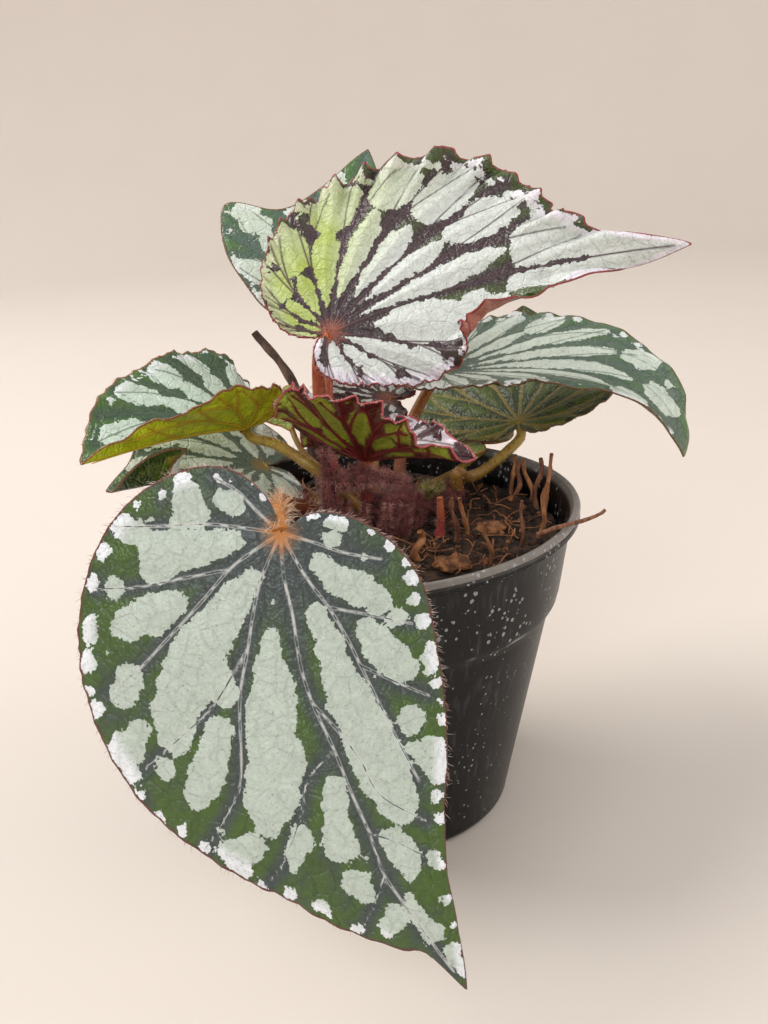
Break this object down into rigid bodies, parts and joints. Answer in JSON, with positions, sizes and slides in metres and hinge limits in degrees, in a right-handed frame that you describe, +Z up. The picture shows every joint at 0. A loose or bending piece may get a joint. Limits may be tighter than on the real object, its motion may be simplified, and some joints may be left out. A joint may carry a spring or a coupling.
{
  "type": "potted rex begonia",
  "caption": "House plant in a round black nursery pot: silver-spotted heart-shaped leaves on hairy stalks from a creeping rhizome in potting soil.",
  "frame": {"origin": "centre of the pot's underside, on the pot's axis", "axes": "+Z up along the pot's axis; -Y towards the large hanging leaf; +X to the right of it"},
  "size_m": [0.1514, 0.1874, 0.1695],
  "materials": {
    "pot_plastic": "satin black, speckled with lime scale",
    "soil": "coarse dark potting mix",
    "leaf_blade": "dark green with silver patches, slightly glossy",
    "stalk_ochre": "hairy, ochre",
    "stalk_red": "hairy, red",
    "fuzzy_stem": "densely hairy, maroon",
    "bud": "hairy, olive",
    "dry_stem": "dried, dull",
    "bark": "rough bark"
  },
  "bodies": {
    "root": {"bark_chip_1": "bark", "bark_chip_2": "bark", "bark_chip_3": "bark", "bark_chip_4": "bark", "bark_chip_5": "bark", "bark_chip_6": "bark", "bark_chip_7": "bark", "dry_stem_1": "dry_stem", "dry_stem_10": "dry_stem", "dry_stem_11": "dry_stem", "dry_stem_12": "dry_stem", "dry_stem_2": "dry_stem", "dry_stem_3": "dry_stem", "dry_stem_4": "dry_stem", "dry_stem_5": "dry_stem", "dry_stem_6": "dry_stem", "dry_stem_7": "dry_stem", "dry_stem_8": "dry_stem", "dry_stem_9": "dry_stem", "leaf_back": "leaf_blade", "leaf_bud": "bud", "leaf_frilled": "leaf_blade", "leaf_front": "leaf_blade", "leaf_left": "leaf_blade", "leaf_left_low": "leaf_blade", "leaf_low_rim": "leaf_blade", "leaf_right": "leaf_blade", "leaf_right_low": "leaf_blade", "leaf_small": "leaf_blade", "leaf_top": "leaf_blade", "leaf_young": "leaf_blade", "nursery_pot": "pot_plastic", "potting_soil": "soil", "rhizome": "fuzzy_stem", "rim_twig": "dry_stem", "shoot_red": "stalk_red", "stalk_back": "stalk_red", "stalk_dead": "dry_stem", "stalk_frilled": "stalk_ochre", "stalk_front": "stalk_ochre", "stalk_left": "stalk_ochre", "stalk_left_low": "stalk_ochre", "stalk_low_rim": "stalk_ochre", "stalk_right": "stalk_ochre", "stalk_right_low": "stalk_ochre", "stalk_small": "stalk_ochre", "stalk_top": "stalk_red", "stalk_young": "stalk_red", "stipule_long": "fuzzy_stem", "stipule_tall": "fuzzy_stem"}
  },
  "joints": []
}
